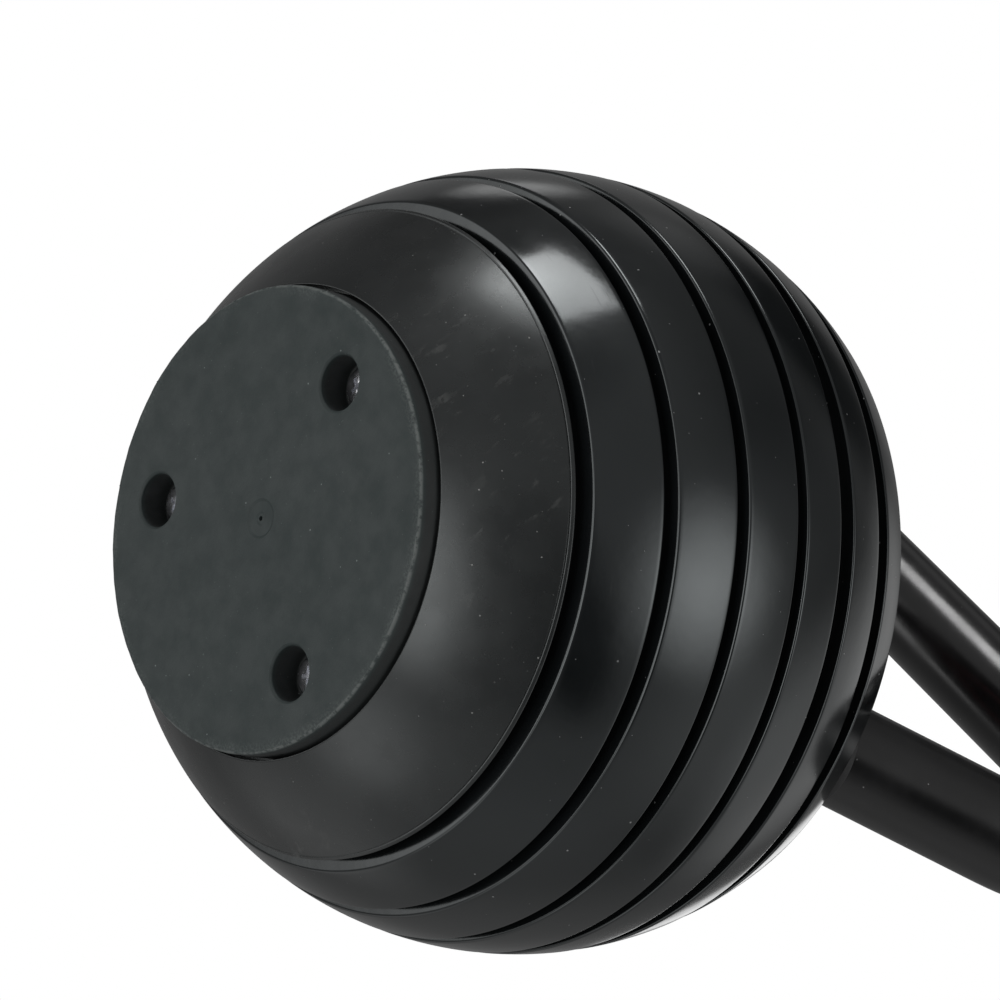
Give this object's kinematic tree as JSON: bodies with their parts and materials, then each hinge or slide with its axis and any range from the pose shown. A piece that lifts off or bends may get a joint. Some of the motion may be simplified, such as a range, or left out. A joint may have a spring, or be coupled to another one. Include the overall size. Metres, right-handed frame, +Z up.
{
  "type": "adjustable kettlebell",
  "caption": "Black adjustable kettlebell: a ball of stacked lift-off weight plates on a round rubber foot, under a bent-tube handle, with a selector dial on top.",
  "frame": {"origin": "middle of the foot's resting face, on the floor", "axes": "+Z up through the spindle to the grip, X along the grip, Y through the handle's window"},
  "size_m": [0.262, 0.21, 0.2757],
  "materials": {
    "foot_rubber": "matte moulded rubber, slightly grey green",
    "satin_plastic": "satin black, faint scuffs",
    "gloss_black_plastic": "high gloss black",
    "lid_plastic": "matte black",
    "cast_iron_weight": "painted dark grey casting",
    "handle_paint": "satin gloss black powder coat",
    "bright_steel": "turned steel",
    "cam_steel": "sintered steel",
    "zinc_screw": "bright zinc plating",
    "black_screw": "black oxide",
    "bronze": "sintered bronze",
    "grommet_rubber": "matte black rubber",
    "knob_plastic": "satin black moulded plastic",
    "red_plastic": "red moulded plastic"
  },
  "bodies": {
    "base": {"foot_pad": "foot_rubber", "foot_screws": "zinc_screw", "base_shell": "satin_plastic", "base_core": "cast_iron_weight", "base_lid": "lid_plastic", "base_lid_screws": "zinc_screw"},
    "plate_5": {"plate_5_shell": "gloss_black_plastic", "plate_5_core": "cast_iron_weight", "plate_5_lid": "lid_plastic", "plate_5_lid_screws": "zinc_screw"},
    "plate_4": {"plate_4_shell": "gloss_black_plastic", "plate_4_core": "cast_iron_weight", "plate_4_lid": "lid_plastic", "plate_4_lid_screws": "zinc_screw"},
    "plate_3": {"plate_3_shell": "gloss_black_plastic", "plate_3_core": "cast_iron_weight", "plate_3_lid": "lid_plastic", "plate_3_lid_screws": "zinc_screw"},
    "plate_2": {"plate_2_shell": "gloss_black_plastic", "plate_2_core": "cast_iron_weight", "plate_2_lid": "lid_plastic", "plate_2_lid_screws": "zinc_screw"},
    "plate_1": {"plate_1_shell": "gloss_black_plastic", "plate_1_core": "cast_iron_weight", "plate_1_lid": "lid_plastic", "plate_1_lid_screws": "zinc_screw"},
    "handle": {"top_shell": "gloss_black_plastic", "top_core": "cast_iron_weight", "top_shell_screws": "zinc_screw", "carrier_plate": "bright_steel", "handle_tube": "handle_paint", "top_cover": "gloss_black_plastic", "cover_screws": "black_screw", "leg_grommets": "grommet_rubber", "dial_pointer": "red_plastic", "spindle_bushing": "bronze", "detent_cage": "bronze", "detent_ball": "bright_steel", "detent_spring": "bright_steel", "stop_pin": "bright_steel"},
    "dial": {"cam_1": "cam_steel", "cam_2": "cam_steel", "cam_3": "cam_steel", "cam_4": "cam_steel", "cam_5": "cam_steel", "cam_6": "cam_steel", "spindle": "bright_steel", "cam_spacers": "cam_steel", "thrust_collar": "bright_steel", "index_disc": "bright_steel", "dial_knob": "knob_plastic", "dial_ring": "red_plastic", "dial_screw": "bright_steel", "dial_cap": "knob_plastic"}
  },
  "joints": [
    {"name": "plate_5_lift", "type": "slide", "parent": "base", "child": "plate_5", "axis": [0, 0, 1], "range_m": [0, 0.025]},
    {"name": "plate_4_lift", "type": "slide", "parent": "plate_5", "child": "plate_4", "axis": [0, 0, 1], "range_m": [0, 0.0445]},
    {"name": "plate_3_lift", "type": "slide", "parent": "plate_4", "child": "plate_3", "axis": [0, 0, 1], "range_m": [0, 0.064]},
    {"name": "plate_2_lift", "type": "slide", "parent": "plate_3", "child": "plate_2", "axis": [0, 0, 1], "range_m": [0, 0.0835]},
    {"name": "plate_1_lift", "type": "slide", "parent": "plate_2", "child": "plate_1", "axis": [0, 0, 1], "range_m": [0, 0.103]},
    {"name": "handle_lift", "type": "slide", "parent": "plate_1", "child": "handle", "axis": [0, 0, 1], "range_m": [0, 0.1225]},
    {"name": "dial_turn", "type": "hinge", "parent": "handle", "child": "dial", "pos_m": [0, 0, 0.1532], "axis": [0, 0, 1], "range_deg": [0, 120]}
  ]
}
